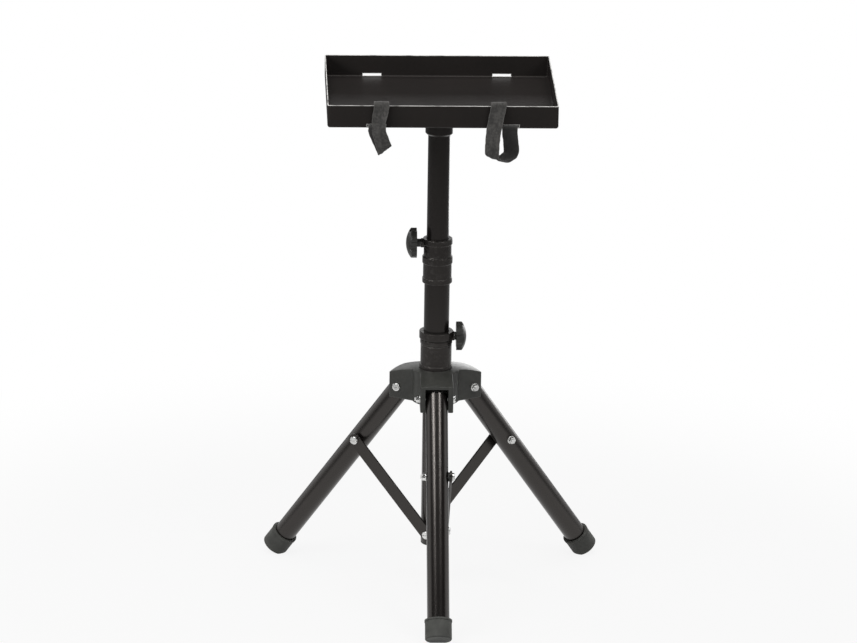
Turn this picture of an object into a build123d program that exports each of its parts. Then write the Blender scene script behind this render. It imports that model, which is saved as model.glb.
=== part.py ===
from build123d import *

import os
from math import cos, hypot, radians, sin, sqrt

# Portable projector stand: a lipped tray on a telescoping column over three folding legs.
# Millimetres, +Z up, the floor at Z = 0 and the front along -Y.
# The origin is the middle of the footprint, so the column stands a little behind it.

# Tray of folded sheet
tray_width = 356.0
tray_depth = 300.0
tray_lip = 36.0
tray_sheet = 1.5
tray_bend = 4.0
tray_edge_round = 0.4
tray_underside = 796.0
slot_width = 29.0
slot_height = 3.8
slot_rise = 2.4
slot_spacing = 206.0

# Straps threaded through the front slots
strap_width = 24.0
strap_thickness = 1.6
strap_front = 4.4
strap_bend = 6.0
slot_lead = 2.6
slot_climb = 1.1

# Socket under the tray
socket_diameter = 44.0
socket_length = 48.0
socket_chamfer = 3.0
socket_plate_size = 96.0
socket_plate_thickness = 3.0
socket_plate_corner = 10.0

# Telescoping column
pole_diameter = 35.0
pole_wall = 1.5
pole_length = 470.0
column_diameter = 40.0
column_wall = 1.5
column_length = 490.0
column_bottom = 70.0
plug_flange = 3.0
plug_depth = 18.0

# Upper collar, from its lower end to its rim
collar_grip = 57.0
collar_bulge = (23.6, 8.0)
collar_sleeve = (22.5, 24.0)
collar_ring = (23.9, 11.0)
collar_neck = (21.9, 20.0)
collar_rim = (23.4, 9.0)
collar_round = 0.9

# Lower collar on the hub, from its flange to its rim
neck_flange = (26.2, 6.0)
neck_body = (24.6, 33.0)
neck_groove = (24.0, 2.5)
neck_band = (25.4, 6.0)
neck_slit = (24.0, 2.5)
neck_rim = (27.0, 11.0)
neck_round = 0.8

# Clamp knobs and their screws
screw_diameter = 8.0
boss_diameter = 15.0
boss_proud = 3.0
upper_knob_drop = 8.0
upper_knob_diameter = 48.0
upper_knob_thickness = 17.0
upper_knob_gap = 33.0
lower_knob_drop = 9.0
lower_knob_diameter = 46.0
lower_knob_thickness = 16.0
lower_knob_gap = 31.5
knob_lobes = 4
knob_notch_radius = 10.0
knob_notch_depth = 6.0
knob_notch_round = 3.0
knob_edge_round = 2.0
knob_dome_radius = 40.0
knob_neck_diameter = 13.0
knob_screw_depth = 9.0

# Hub moulding with its three clevis arms, heights from the leg bolts
hub_diameter = 76.0
hub_wall = 11.3
hub_top = 35.0
hub_underside = 19.0
dome_radius = 205.0
hub_edge_round = 1.5
arm_reach = 14.0
arm_cheek = 8.0
arm_roof = 19.0
arm_corner_round = 2.0
arm_mouth_round = 1.0
arm_root_round = 13.0

# Legs and their rubber boots
leg_diameter = 35.0
leg_wall = 1.5
leg_length = 395.0
leg_spread = 36.5
leg_cap = 2.0
leg_cap_round = 1.5
leg_top = 8.0
leg_plug_depth = 24.0
boot_diameter = 42.0
boot_length = 32.0
boot_sole = 7.0
boot_round = 2.0
boot_heel = 9.0
boot_lip = 0.7
boot_lip_height = 3.0

# Braces and bolts
brace_width = 20.0
brace_thickness = 3.0
brace_joint = 128.8
brace_foot = 16.0
bolt_diameter = 6.0
head_diameter = 13.5
head_height = 4.0
head_slot = 1.6
nut_size = 10.0
nut_height = 6.5
nut_flange_diameter = 13.0
nut_flange = 1.6
bolt_tail = 2.5
spacer_diameter = 15.0

# Clearances
seat_gap = 0.1
slide_gap = 0.3
pin_gap = 0.05
swing_gap = 5.2
cheek_gap = 0.5

# Worked out from the sizes above
leg_azimuths = {"front": -90.0, "right": 30.0, "left": 150.0}
pole_radius = pole_diameter / 2
column_radius = column_diameter / 2
leg_radius = leg_diameter / 2
boot_radius = boot_diameter / 2
bolt_radius = bolt_diameter / 2
screw_radius = screw_diameter / 2
spread_sine = sin(radians(leg_spread))
spread_cosine = cos(radians(leg_spread))
hub_core_radius = column_radius + slide_gap + hub_wall
leg_swing = hypot(leg_top, leg_radius)
pivot_radius = hub_core_radius + swing_gap + leg_swing
pivot_height = boot_heel + leg_length * spread_cosine
arm_half_channel = leg_radius + cheek_gap
arm_half_width = arm_half_channel + arm_cheek
column_top = column_bottom + column_length
collar_bottom = column_top - collar_grip
neck_bottom = pivot_height + hub_top
brace_plane = column_radius + slide_gap
brace_outside = brace_plane + brace_thickness
brace_foot_height = column_bottom + brace_foot


def boot_reach(lean):
    """How far a boot reaches past the column along a level direction, lean being its cosine to the leg's."""
    end_radius = pivot_radius + leg_length * spread_sine
    along = lean * spread_sine
    round_middle = lean * (end_radius - boot_round * spread_sine)
    return round_middle + (boot_radius - boot_round) * sqrt(1 - along**2) + boot_round


# The front leg reaches further forward than the other two reach back.
column_y = (boot_reach(1.0) - boot_reach(0.5)) / 2
column_section = Plane(origin=(0, column_y, 0), x_dir=(1, 0, 0), z_dir=(0, -1, 0))
column_axis = Axis((0, column_y, 0), (0, 0, 1))


def level(height):
    """A level plane on the column's axis."""
    return Plane(origin=(0, column_y, height))


def sideways(height, side, distance=0.0):
    """A plane facing left (side -1) or right (side 1), away from the column."""
    return Plane(origin=(side * distance, column_y, height), x_dir=(0, side, 0), z_dir=(side, 0, 0))


def radial(azimuth):
    """The level direction from the column towards a leg."""
    return Vector(1, 0, 0).rotate(Axis.Z, azimuth)


def leg_point(azimuth, distance, height, aside=0.0):
    """A point in a leg's upright plane, aside being its offset to the brace's side."""
    along = radial(azimuth) * distance
    across = radial(azimuth + 90) * aside
    return Vector(0, column_y, height) + along + across


def leg_plane(azimuth, down=0.0):
    """Across a leg, down being the distance from the hub's bolt along the leg."""
    fall = radial(azimuth) * spread_sine - Vector(0, 0, spread_cosine)
    pivot = leg_point(azimuth, pivot_radius, pivot_height)
    return Plane(origin=pivot, x_dir=radial(azimuth + 90), z_dir=fall).offset(down)


def bolt_plane(azimuth, distance, height, aside=0.0):
    """Square to a bolt that lies across a leg, facing the brace's side."""
    origin = leg_point(azimuth, distance, height, aside)
    return Plane(origin=origin, x_dir=radial(azimuth), z_dir=radial(azimuth + 90))


def rims(part, radius):
    """The circular edges of one radius."""
    circles = part.edges().filter_by(GeomType.CIRCLE)
    return circles.filter_by(lambda edge: abs(edge.radius - radius) < 0.01)


def stacked_profile(base, steps):
    """Outline of a turned piece from its base up: each step is a radius and a height."""
    points = [(0, base)]
    height = base
    for radius, rise in steps:
        points.append((radius, height))
        height += rise
        points.append((radius, height))
    points.append((0, height))
    return points


def save(piece, name):
    """Label a finished piece and write it out."""
    piece.part.label = name
    export_step(piece.part, f"parts/{name}.step")


os.makedirs("parts", exist_ok=True)

# Tray: a pan with rounded folds and a strap slot at each end of its front and rear lips
tray_half_depth = tray_depth / 2
slot_middle = tray_underside + slot_rise + slot_height / 2

with BuildPart() as tray:
    with BuildSketch(level(tray_underside)):
        Rectangle(tray_width, tray_depth)
    extrude(amount=tray_lip)
    folds = tray.edges().filter_by(Axis.Z) + tray.faces().sort_by(Axis.Z)[0].edges()
    fillet(folds, tray_bend)
    offset(amount=-tray_sheet, openings=tray.faces().sort_by(Axis.Z)[-1])
    fillet(tray.faces().sort_by(Axis.Z)[-1].edges(), tray_edge_round)
    with BuildSketch(Plane.XZ.offset(-column_y)):
        with Locations((0, slot_middle)):
            with GridLocations(slot_spacing, 0, 2, 1):
                Rectangle(slot_width, slot_height)
    extrude(amount=tray_depth, both=True, mode=Mode.SUBTRACT)
save(tray, "tray")

# Straps: closed loops of webbing through a slot, up inside the lip, over the rim and down the front
lip_face = column_y - tray_half_depth
slot_up = slot_middle - tray_underside
strap_back = -tray_sheet - slide_gap - strap_thickness / 2
rim_turn = (strap_front - strap_back) / 2
turn_angles = [radians(45 * step) for step in range(5)]


def strap_route(lean, front_sway, back_sway, drop, bulge, loop_turn):
    """Points round a strap: how far towards the middle, before the lip's face and above the underside.

    It leans towards the middle at the rim, and its loop sways there at the front and at the back.
    The loop hangs by its drop, stands before the lip by its bulge and has its turn for a radius.
    """
    route = [(0, strap_back - slot_climb, slot_up + slot_climb), (0, strap_back, slot_up + strap_bend)]
    for angle in turn_angles:
        route.append((lean, strap_back + rim_turn - rim_turn * cos(angle), tray_lip + rim_turn * sin(angle)))
    loop_middle = loop_turn - drop
    for angle, share in zip(turn_angles, (0.0, 0.15, 0.5, 0.85, 1.0)):
        sway = front_sway + (back_sway - front_sway) * share
        route.append((sway, bulge - loop_turn + loop_turn * cos(angle), loop_middle - loop_turn * sin(angle)))
    route.append((0, slot_lead - slot_climb, -strap_bend))
    route.append((0, slot_lead, slot_up - slot_climb))
    return route


def strap_planes(side, route):
    """Planes across a closed strap at its points, the strap's width staying level."""
    slot_aside = slot_spacing / 2
    points = [Vector(side * (slot_aside - inward), lip_face - before, tray_underside + up)
              for inward, before, up in route]
    ahead = points[1:] + points[:1]
    behind = points[-1:] + points[:-1]
    return [Plane(here, x_dir=(1, 0, 0), z_dir=(after - before).project_to_plane(Plane.YZ))
            for here, after, before in zip(points, ahead, behind)]


right_route = strap_route(lean=18, front_sway=26, back_sway=-3, drop=51, bulge=12, loop_turn=8)
left_route = strap_route(lean=8, front_sway=13, back_sway=11, drop=31, bulge=6.4, loop_turn=2.6)

for strap_name, side, route in (("right_strap", 1, right_route), ("left_strap", -1, left_route)):
    stations = strap_planes(side, route)
    with BuildPart() as strap:
        for stretch in zip(stations, stations[1:] + stations[:1]):
            for station in stretch:
                with BuildSketch(station):
                    Rectangle(strap_width, strap_thickness)
            loft(ruled=True)
    save(strap, strap_name)

# Socket: a plate under the tray with a sleeve that the pole stands in
plate_underside = tray_underside - socket_plate_thickness
socket_bore = pole_radius + slide_gap

with BuildPart() as tray_socket:
    with BuildSketch(level(plate_underside)):
        RectangleRounded(socket_plate_size, socket_plate_size, socket_plate_corner)
    extrude(amount=socket_plate_thickness)
    with BuildSketch(level(plate_underside)):
        Circle(socket_diameter / 2)
    extrude(amount=-socket_length)
    chamfer(tray_socket.faces().sort_by(Axis.Z)[0].edges(), socket_chamfer)
    with BuildSketch(level(plate_underside)):
        Circle(socket_bore)
    extrude(amount=-socket_length, mode=Mode.SUBTRACT)
save(tray_socket, "tray_socket")

# Pole and main tube
pole_top = plate_underside - slide_gap

with BuildPart() as pole:
    with BuildSketch(level(pole_top)):
        Circle(pole_radius)
        Circle(pole_radius - pole_wall, mode=Mode.SUBTRACT)
    extrude(amount=-pole_length)
save(pole, "pole")

with BuildPart() as main_tube:
    with BuildSketch(level(column_bottom)):
        Circle(column_radius)
        Circle(column_radius - column_wall, mode=Mode.SUBTRACT)
    extrude(amount=column_length)
save(main_tube, "main_tube")

with BuildPart() as column_plug:
    with BuildSketch(level(column_bottom)):
        Circle(column_radius)
    extrude(amount=-plug_flange)
    fillet(column_plug.faces().sort_by(Axis.Z)[0].edges(), plug_flange / 2)
    with BuildSketch(level(column_bottom)):
        Circle(column_radius - column_wall - seat_gap)
    extrude(amount=plug_depth)
save(column_plug, "column_plug")

# Upper collar: grips the top of the main tube and guides the pole
collar_steps = (collar_bulge, collar_sleeve, collar_ring, collar_neck, collar_rim)
collar_height = sum(rise for radius, rise in collar_steps)
collar_top = collar_bottom + collar_height
upper_knob_height = collar_top - upper_knob_drop
upper_boss_end = collar_rim[0] + boss_proud

with BuildPart() as upper_collar:
    with BuildSketch(column_section):
        with BuildLine():
            Polyline(*stacked_profile(collar_bottom, collar_steps), close=True)
        make_face()
    revolve(axis=column_axis)
    for collar_radius, collar_rise in (collar_bulge, collar_ring, collar_rim):
        fillet(rims(upper_collar, collar_radius), collar_round)
    with BuildSketch(sideways(upper_knob_height, -1)):
        Circle(boss_diameter / 2)
    extrude(amount=upper_boss_end)
    with BuildSketch(level(collar_bottom)):
        Circle(column_radius + pin_gap)
    extrude(amount=collar_grip + seat_gap, mode=Mode.SUBTRACT)
    with BuildSketch(level(collar_bottom)):
        Circle(pole_radius + slide_gap)
    extrude(amount=collar_height, mode=Mode.SUBTRACT)
    with BuildSketch(sideways(upper_knob_height, -1)):
        Circle(screw_radius + pin_gap)
    extrude(amount=upper_boss_end, mode=Mode.SUBTRACT)
save(upper_collar, "upper_collar")

# Lower collar: stands on the hub and slides on the main tube
neck_steps = (neck_flange, neck_body, neck_groove, neck_band, neck_slit, neck_rim)
neck_height = sum(rise for radius, rise in neck_steps)
neck_top = neck_bottom + neck_height
lower_knob_height = neck_top - lower_knob_drop
lower_boss_end = neck_rim[0] + boss_proud / 2

with BuildPart() as lower_collar:
    with BuildSketch(column_section):
        with BuildLine():
            Polyline(*stacked_profile(neck_bottom, neck_steps), close=True)
        make_face()
    revolve(axis=column_axis)
    for collar_radius, collar_rise in (neck_flange, neck_band, neck_rim):
        fillet(rims(lower_collar, collar_radius).group_by(Axis.Z)[-1], neck_round)
    with BuildSketch(sideways(lower_knob_height, 1)):
        Circle(boss_diameter / 2)
    extrude(amount=lower_boss_end)
    with BuildSketch(level(neck_bottom)):
        Circle(column_radius + slide_gap)
    extrude(amount=neck_height, mode=Mode.SUBTRACT)
    with BuildSketch(sideways(lower_knob_height, 1)):
        Circle(screw_radius + pin_gap)
    extrude(amount=lower_boss_end, mode=Mode.SUBTRACT)
save(lower_collar, "lower_collar")


def clamp_knob(name, height, side, gap, diameter, thickness, boss_end, screw_end):
    """A lobed knob on its screw, side being -1 for the left and 1 for the right."""
    inner_face = sideways(height, side, gap)
    notch_middle = diameter / 2 + knob_notch_radius - knob_notch_depth
    with BuildPart() as knob:
        with BuildSketch(inner_face) as lobes:
            Circle(diameter / 2)
            with PolarLocations(notch_middle, knob_lobes):
                Circle(knob_notch_radius, mode=Mode.SUBTRACT)
            fillet(lobes.vertices(), knob_notch_round)
        extrude(amount=thickness)
        with Locations(sideways(height, side, gap + thickness - knob_dome_radius)):
            Sphere(knob_dome_radius, mode=Mode.INTERSECT)
        fillet(knob.faces().filter_by(GeomType.SPHERE).edges(), knob_edge_round)
        with BuildSketch(inner_face):
            Circle(knob_neck_diameter / 2)
        extrude(amount=boss_end + slide_gap - gap)
        with BuildSketch(inner_face.offset(knob_screw_depth)):
            Circle(screw_radius + seat_gap)
        extrude(amount=-gap, mode=Mode.SUBTRACT)
    save(knob, name + "_knob")
    with BuildPart() as screw:
        with BuildSketch(sideways(height, side, screw_end)):
            Circle(screw_radius)
        extrude(amount=gap + knob_screw_depth - screw_end)
    save(screw, name + "_clamp_screw")


clamp_knob("upper", upper_knob_height, -1, upper_knob_gap, upper_knob_diameter, upper_knob_thickness,
           upper_boss_end, pole_radius + slide_gap)
clamp_knob("lower", lower_knob_height, 1, lower_knob_gap, lower_knob_diameter, lower_knob_thickness,
           lower_boss_end, column_radius + slide_gap)

# Hub: a barrel on the main tube with a domed top and three arms, each an upside-down channel
arm_end = pivot_radius + arm_reach
hub_bottom = pivot_height - hub_underside
dome_middle = neck_bottom - sqrt(dome_radius**2 - neck_flange[0] ** 2)


def in_channel(edge, azimuth):
    """Whether an edge's middle lies in an arm's channel or on its walls."""
    aside = bolt_plane(azimuth, 0, pivot_height).to_local_coords(edge.center())
    return abs(aside.Z) < arm_half_channel + seat_gap and -aside.Y < arm_roof + seat_gap


with BuildPart() as hub:
    with BuildSketch(level(hub_bottom)) as hub_plan:
        Circle(hub_diameter / 2)
        with PolarLocations(arm_end / 2, len(leg_azimuths), start_angle=leg_azimuths["front"]):
            Rectangle(arm_end, 2 * arm_half_width)
        arm_corners, arm_roots = hub_plan.vertices().group_by(lambda corner: hypot(corner.X, corner.Y))[::-1]
        fillet(arm_corners, arm_corner_round)
        fillet(arm_roots, arm_root_round)
    extrude(amount=hub_top + hub_underside)
    with Locations((0, column_y, dome_middle)):
        Sphere(dome_radius, mode=Mode.INTERSECT)
    dome = hub.faces().filter_by(GeomType.SPHERE)[0]
    neck_foot = rims(dome, neck_flange[0])
    fillet(dome.edges().filter_by(lambda edge: edge not in neck_foot), hub_edge_round)
    fillet(hub.faces().sort_by(Axis.Z)[0].edges(), hub_edge_round)
    for azimuth in leg_azimuths.values():
        with BuildSketch(bolt_plane(azimuth, 0, 0)):
            with BuildLine():
                Polyline((hub_core_radius, -pivot_height - arm_roof), (2 * arm_end, -pivot_height - arm_roof),
                         (2 * arm_end, 0), (hub_core_radius, 0), close=True)
            make_face()
        extrude(amount=arm_half_channel, both=True, mode=Mode.SUBTRACT)
        mouth = hub.faces().sort_by(Axis((0, column_y, 0), radial(azimuth)))[-1]
        fillet(mouth.edges().filter_by(lambda edge: in_channel(edge, azimuth)), arm_mouth_round)
        with BuildSketch(bolt_plane(azimuth, pivot_radius, pivot_height)):
            Circle(bolt_radius + pin_gap)
        extrude(amount=arm_half_width, both=True, mode=Mode.SUBTRACT)
    with BuildSketch(level(hub_bottom)):
        Circle(column_radius + slide_gap)
    extrude(amount=hub_top + hub_underside, mode=Mode.SUBTRACT)
save(hub, "hub")


def pivot_bolt(name, azimuth, distance, height, head_face, nut_face=None):
    """A bolt across a leg: a slotted round head on the brace's side and, where it has one, a nut."""
    axis_plane = bolt_plane(azimuth, distance, height)
    axis = Axis(axis_plane.origin, axis_plane.z_dir)
    head_top = axis_plane.offset(head_face + head_height)
    tail_face = brace_plane if nut_face is None else nut_face - nut_height - bolt_tail
    with BuildPart() as bolt:
        with BuildSketch(axis_plane.offset(head_face)):
            Circle(head_diameter / 2)
        extrude(amount=head_height)
        fillet(rims(bolt, head_diameter / 2).sort_by(axis)[-1], head_height / 2)
        with BuildSketch(head_top):
            Rectangle(head_diameter, head_slot)
        extrude(amount=-head_slot, mode=Mode.SUBTRACT)
        with BuildSketch(axis_plane.offset(head_face)):
            Circle(bolt_radius)
        extrude(amount=tail_face - head_face)
        if nut_face is not None:
            with BuildSketch(axis_plane.offset(nut_face)):
                RegularPolygon(nut_size / 2, 6, major_radius=False)
            extrude(amount=-nut_height)
            with BuildSketch(axis_plane.offset(nut_face)):
                Circle(nut_flange_diameter / 2)
            extrude(amount=-nut_flange)
    save(bolt, name)


# Legs: each a tube with a top plug and a rubber boot, on its hub bolt, with its brace and bolts
brace_joint_radius = pivot_radius + brace_joint * spread_sine
brace_joint_height = pivot_height - brace_joint * spread_cosine
brace_rise = brace_joint_height - brace_foot_height
brace_length = sqrt(brace_joint_radius**2 + brace_rise**2)

for side, azimuth in leg_azimuths.items():
    hub_hole = bolt_plane(azimuth, pivot_radius, pivot_height)
    joint_hole = bolt_plane(azimuth, brace_joint_radius, brace_joint_height)
    foot_hole = bolt_plane(azimuth, 0, brace_foot_height)
    leg_axis = Axis(leg_plane(azimuth).origin, leg_plane(azimuth).z_dir)

    with BuildPart() as leg:
        with BuildSketch(leg_plane(azimuth, leg_cap - leg_top)):
            Circle(leg_radius)
            Circle(leg_radius - leg_wall, mode=Mode.SUBTRACT)
        extrude(amount=leg_length - boot_sole + leg_top - leg_cap)
        for hole in (hub_hole, joint_hole):
            with BuildSketch(hole):
                Circle(bolt_radius + pin_gap)
            extrude(amount=leg_diameter, both=True, mode=Mode.SUBTRACT)
    save(leg, f"leg_{side}")

    with BuildPart() as leg_plug:
        with BuildSketch(leg_plane(azimuth, leg_cap - leg_top)):
            Circle(leg_radius)
        extrude(amount=-leg_cap)
        fillet(leg_plug.faces().sort_by(leg_axis)[0].edges(), leg_cap_round)
        with BuildSketch(leg_plane(azimuth, leg_cap - leg_top)):
            Circle(leg_radius - leg_wall - seat_gap)
        extrude(amount=leg_plug_depth)
        with BuildSketch(hub_hole):
            Circle(bolt_radius + pin_gap)
        extrude(amount=leg_diameter, both=True, mode=Mode.SUBTRACT)
    save(leg_plug, f"leg_plug_{side}")

    with BuildPart() as boot:
        with BuildSketch(leg_plane(azimuth, leg_length)):
            Circle(boot_radius)
        extrude(amount=-boot_length)
        fillet(rims(boot, boot_radius), boot_round)
        with BuildSketch(leg_plane(azimuth, leg_length - boot_length)):
            Circle(boot_radius + boot_lip)
        extrude(amount=boot_lip_height)
        with BuildSketch(leg_plane(azimuth, leg_length - boot_sole)):
            Circle(leg_radius + pin_gap)
        extrude(amount=-boot_length, mode=Mode.SUBTRACT)
        split(bisect_by=Plane.XY, keep=Keep.TOP)
    save(boot, f"boot_{side}")

    with BuildPart() as spacer:
        with BuildSketch(joint_hole.offset(leg_radius + pin_gap)):
            Circle(spacer_diameter / 2)
            Circle(bolt_radius + pin_gap, mode=Mode.SUBTRACT)
        extrude(amount=brace_plane - slide_gap - leg_radius - pin_gap)
    save(spacer, f"spacer_{side}")

    brace_middle = (leg_point(azimuth, brace_joint_radius, brace_joint_height, brace_plane)
                    + leg_point(azimuth, 0, brace_foot_height, brace_plane)) / 2
    brace_line = joint_hole.origin - foot_hole.origin
    with BuildPart() as brace:
        with BuildSketch(Plane(brace_middle, x_dir=brace_line, z_dir=radial(azimuth + 90))):
            SlotCenterToCenter(brace_length, brace_width)
            with GridLocations(brace_length, 0, 2, 1):
                Circle(bolt_radius + pin_gap, mode=Mode.SUBTRACT)
        extrude(amount=brace_thickness)
    save(brace, f"brace_{side}")

    pivot_bolt(f"hub_bolt_{side}", azimuth, pivot_radius, pivot_height,
               arm_half_width, -arm_half_width)
    pivot_bolt(f"leg_bolt_{side}", azimuth, brace_joint_radius, brace_joint_height,
               brace_outside + slide_gap, -leg_radius - pin_gap)
    pivot_bolt(f"brace_bolt_{side}", azimuth, 0, brace_foot_height, brace_outside)
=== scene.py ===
import logging
import math
from dataclasses import dataclass, field
from enum import Enum
from typing import Mapping, Optional, Sequence, Union

import bpy
from mathutils import Matrix, Vector, noise


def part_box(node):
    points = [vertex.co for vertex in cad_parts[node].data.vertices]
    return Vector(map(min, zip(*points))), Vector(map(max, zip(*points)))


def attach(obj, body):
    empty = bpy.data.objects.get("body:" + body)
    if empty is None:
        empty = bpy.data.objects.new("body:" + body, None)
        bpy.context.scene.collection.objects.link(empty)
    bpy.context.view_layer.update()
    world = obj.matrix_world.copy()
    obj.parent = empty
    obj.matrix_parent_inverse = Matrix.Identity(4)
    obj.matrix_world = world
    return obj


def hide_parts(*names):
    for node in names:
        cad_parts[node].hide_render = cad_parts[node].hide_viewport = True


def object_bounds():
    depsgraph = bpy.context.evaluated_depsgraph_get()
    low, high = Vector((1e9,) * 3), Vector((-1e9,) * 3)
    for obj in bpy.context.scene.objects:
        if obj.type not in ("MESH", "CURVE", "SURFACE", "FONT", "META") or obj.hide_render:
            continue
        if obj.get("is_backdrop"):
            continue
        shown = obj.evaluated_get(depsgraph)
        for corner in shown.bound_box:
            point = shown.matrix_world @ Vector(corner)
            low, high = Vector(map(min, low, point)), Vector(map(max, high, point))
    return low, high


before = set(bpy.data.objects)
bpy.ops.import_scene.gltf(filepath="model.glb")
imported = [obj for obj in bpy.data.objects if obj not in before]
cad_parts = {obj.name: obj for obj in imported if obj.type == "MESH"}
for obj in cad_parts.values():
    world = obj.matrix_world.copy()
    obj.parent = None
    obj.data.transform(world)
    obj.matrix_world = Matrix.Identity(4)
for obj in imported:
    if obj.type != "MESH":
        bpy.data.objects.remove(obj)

log = logging.getLogger("projector_stand")

Span = tuple[float, float]
Triple = tuple[float, float, float]
Colour = Triple
Setting = Union[str, bool, int, float, Sequence[object]]

PHOTO_WIDTH = 857
SENSOR = 36.0
STRAP_WIDTH = 0.024
SLOT_ASIDE = 0.103
SLOT_UP = 0.0043
RUN_MAP = "run"
BEVEL_SAMPLES = 6
EDGE_STEP: Span = (0.02, 0.3)
WHITE: Colour = (1.0, 1.0, 1.0)
WARM: Colour = (1.0, 0.93, 0.88)
HALF_TURN = [math.radians(angle) for angle in (0, 45, 90, 135, 180)]
SELVEDGE_TURN = [math.radians(angle) for angle in (112.5, 135, 157.5, 180, 202.5, 225, 247.5)]


class Slot(Enum):
    """The record's material slots."""

    POWDER_COAT = "powder_coat"
    MOULDED_BLACK = "moulded_black"
    BOOT_RUBBER = "boot_rubber"
    ZINC = "zinc"
    WEBBING = "webbing"


class Side(Enum):
    """The three legs of the tripod."""

    FRONT = "front"
    RIGHT = "right"
    LEFT = "left"


class Value:
    """An output socket that takes part in Python expressions; they add Math nodes."""

    def __init__(self, shading: "Shading", socket: bpy.types.NodeSocket) -> None:
        """Keep the shading that the socket belongs to."""
        self.shading = shading
        self.socket = socket

    def _math(self, operation: str, first: "Number", second: "Number") -> "Value":
        """Add one Math node on two values."""
        return self.shading.node("ShaderNodeMath", {"operation": operation},
                                 {"Value": first, "Value_001": second})

    def __add__(self, other: "Number") -> "Value":
        """Return the sum."""
        return self._math("ADD", self, other)

    def __radd__(self, other: "Number") -> "Value":
        """Return the sum, with the number first."""
        return self._math("ADD", other, self)

    def __sub__(self, other: "Number") -> "Value":
        """Return the difference."""
        return self._math("SUBTRACT", self, other)

    def __rsub__(self, other: "Number") -> "Value":
        """Return the difference, with the number first."""
        return self._math("SUBTRACT", other, self)

    def __mul__(self, other: "Number") -> "Value":
        """Return the product."""
        return self._math("MULTIPLY", self, other)

    def __rmul__(self, other: "Number") -> "Value":
        """Return the product, with the number first."""
        return self._math("MULTIPLY", other, self)

    def __gt__(self, other: "Number") -> "Value":
        """Return 1 where the value is the greater one, and else 0."""
        return self._math("GREATER_THAN", self, other)

    def __lt__(self, other: "Number") -> "Value":
        """Return 1 where the value is the smaller one, and else 0."""
        return self._math("LESS_THAN", self, other)

    def __abs__(self) -> "Value":
        """Return the value without its sign."""
        return self._math("ABSOLUTE", self, 0.0)

    def larger(self, other: "Number") -> "Value":
        """Return the larger of two values."""
        return self._math("MAXIMUM", self, other)

    def swing(self, reach: float) -> "Value":
        """Return a value from 0 to 1 as a swing to both sides of 0, times a reach."""
        return (self - 0.5) * reach

    def wave(self, pitch: float) -> "Value":
        """Return a sine of the value, from 0 to 1, that repeats at each pitch."""
        return self._math("SINE", self * (2 * math.pi / pitch), 0.0) * 0.5 + 0.5

    def between(self, low: float, high: float) -> "Value":
        """Return 0 up to low, 1 from high, and a smooth step in the middle.

        Args:
            low: the value at which the step begins.
            high: the value at which the step ends.

        Returns:
            The step, from 0 to 1.
        """
        return self.shading.node("ShaderNodeMapRange", {"interpolation_type": "SMOOTHSTEP"},
                                 {"Value": self, "From Min": low, "From Max": high})


Number = Union[Value, float]


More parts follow.
